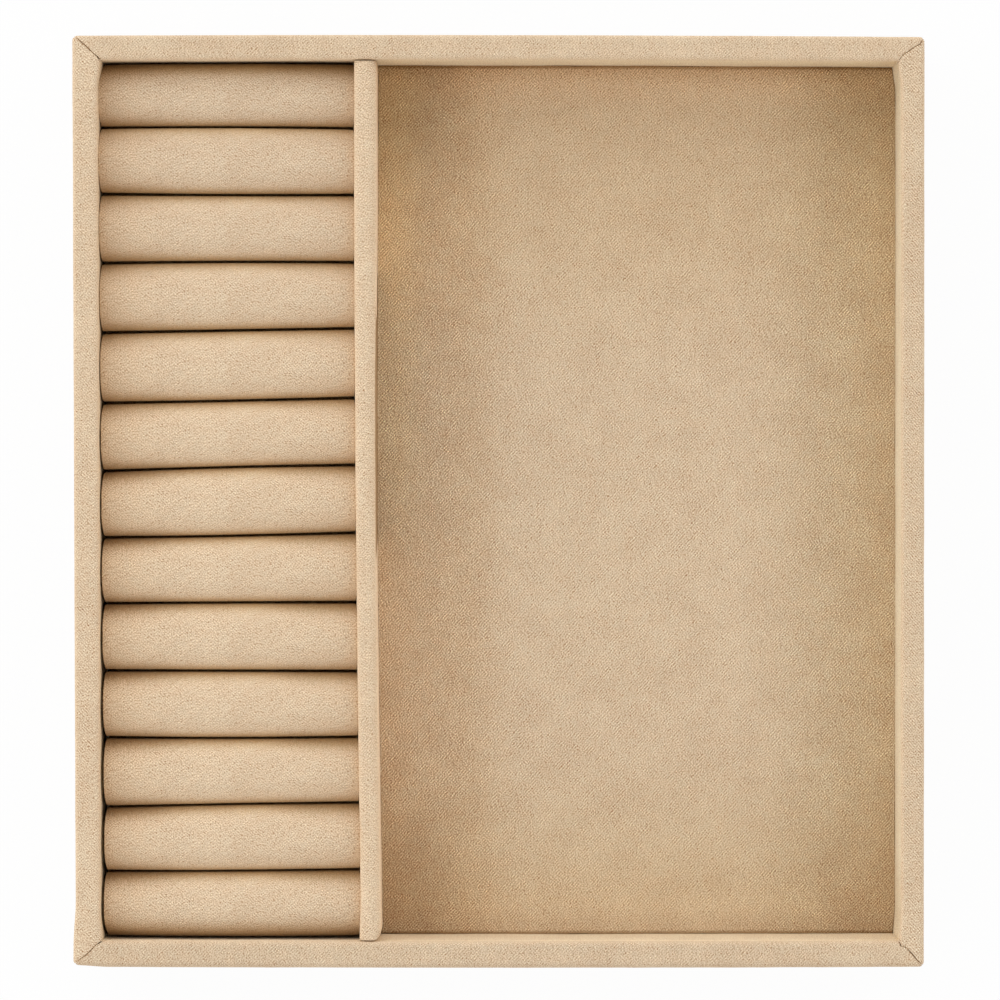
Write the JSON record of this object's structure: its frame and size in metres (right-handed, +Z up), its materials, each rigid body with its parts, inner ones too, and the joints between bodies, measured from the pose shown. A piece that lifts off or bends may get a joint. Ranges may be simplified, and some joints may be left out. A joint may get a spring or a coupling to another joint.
{
  "type": "jewelry tray",
  "caption": "Shallow suede-wrapped jewelry tray with a mitred rim, a bay of padded ring rolls along one side, a wrapped divider and an open compartment with a padded floor.",
  "frame": {"origin": "middle of the footprint, on the plane that the underside lining rests on", "axes": "+X to the right with the ring rolls on the left, +Y to the back, +Z up out of the open tray"},
  "size_m": [0.228, 0.25, 0.036],
  "materials": {
    "suede": "matte",
    "lining": "matte",
    "fibreboard": "matte",
    "greyboard": "matte",
    "foam": "matte"
  },
  "bodies": {
    "root": {"underside_lining": "lining", "base_board": "fibreboard", "back_wall_board": "fibreboard", "front_wall_board": "fibreboard", "left_wall_board": "fibreboard", "right_wall_board": "fibreboard", "back_wall_cover": "suede", "front_wall_cover": "suede", "left_wall_cover": "suede", "right_wall_cover": "suede", "divider_board": "fibreboard", "divider_cover": "suede", "floor_card": "greyboard", "floor_foam": "foam", "floor_cover": "suede", "ring_bed_riser": "foam", "ring_roll_core_01": "foam", "ring_roll_core_02": "foam", "ring_roll_core_03": "foam", "ring_roll_core_04": "foam", "ring_roll_core_05": "foam", "ring_roll_core_06": "foam", "ring_roll_core_07": "foam", "ring_roll_core_08": "foam", "ring_roll_core_09": "foam", "ring_roll_core_10": "foam", "ring_roll_core_11": "foam", "ring_roll_core_12": "foam", "ring_roll_core_13": "foam", "ring_roll_sleeve_01": "suede", "ring_roll_sleeve_02": "suede", "ring_roll_sleeve_03": "suede", "ring_roll_sleeve_04": "suede", "ring_roll_sleeve_05": "suede", "ring_roll_sleeve_06": "suede", "ring_roll_sleeve_07": "suede", "ring_roll_sleeve_08": "suede", "ring_roll_sleeve_09": "suede", "ring_roll_sleeve_10": "suede", "ring_roll_sleeve_11": "suede", "ring_roll_sleeve_12": "suede", "ring_roll_sleeve_13": "suede"}
  },
  "joints": []
}
